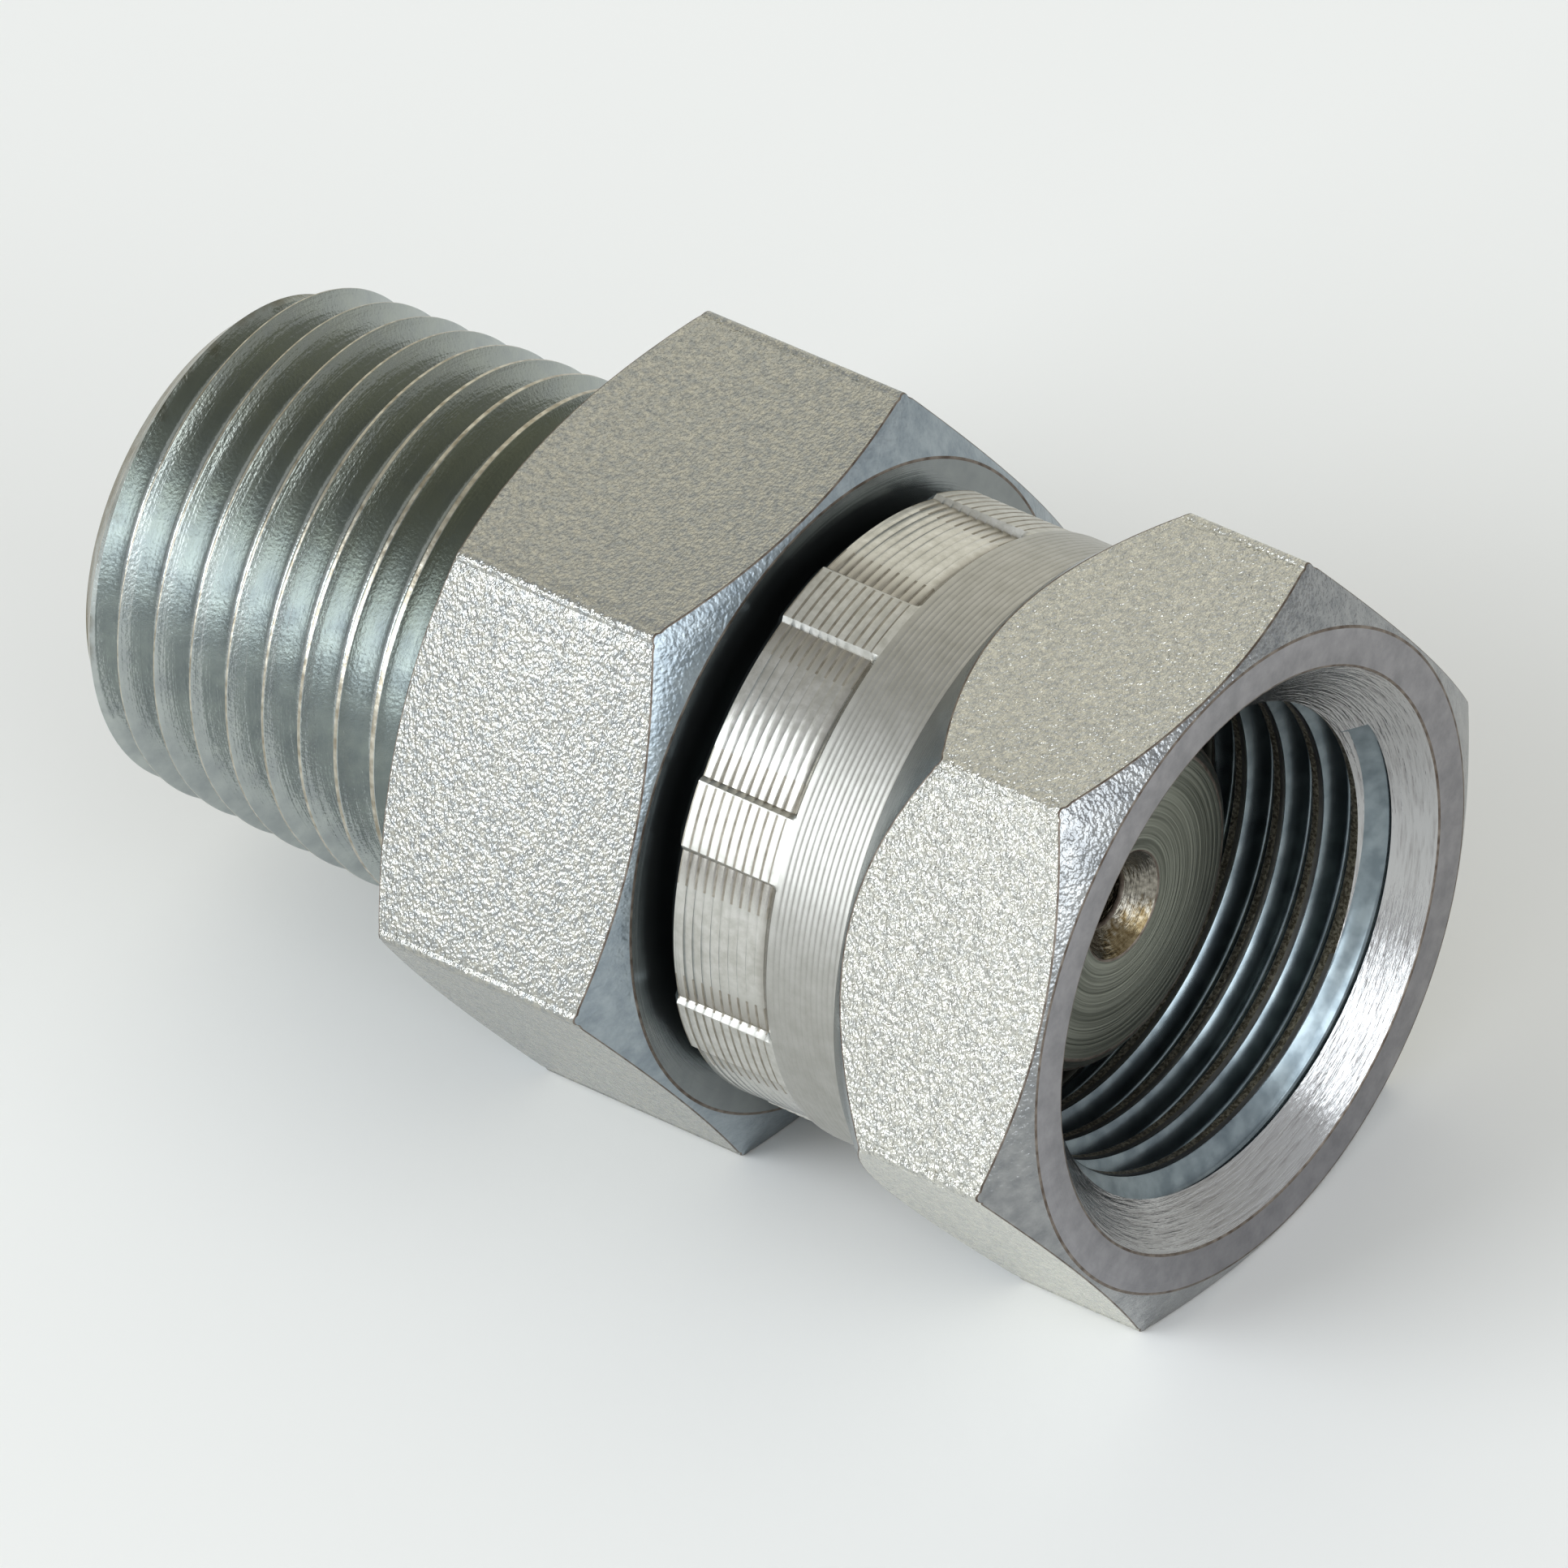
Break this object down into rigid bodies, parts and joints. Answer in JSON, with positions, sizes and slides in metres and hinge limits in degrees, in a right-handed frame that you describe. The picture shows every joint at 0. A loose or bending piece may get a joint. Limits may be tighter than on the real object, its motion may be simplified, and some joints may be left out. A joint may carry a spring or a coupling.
{
  "type": "swivel adapter",
  "caption": "Straight steel pipe adapter: tapered male pipe thread and hexagon on a turned body, with a free-spinning hexagonal swivel nut crimped on behind its seat nose.",
  "frame": {"origin": "on the common axis, at the end face of the seat nose, which lies inside the nut's straight thread", "axes": "+X along the axis, out of the nut's mouth; +Z out of the top flats of both hexagons; +Y towards a corner of both hexagons"},
  "size_m": [0.049, 0.0312, 0.027],
  "materials": {
    "body_steel": "bright zinc-plated steel, rolled hexagon flats matte, turned faces smooth",
    "nut_steel": "bright zinc-plated steel, rolled hexagon flats matte, barrel and collar finely turned"
  },
  "bodies": {
    "body": {"adapter_body": "body_steel"},
    "nut": {"swivel_nut": "nut_steel"}
  },
  "joints": [
    {"name": "nut_swivel", "type": "hinge", "parent": "body", "child": "nut", "pos_m": [0, 0, 0], "axis": [1, 0, 0], "continuous": true}
  ]
}
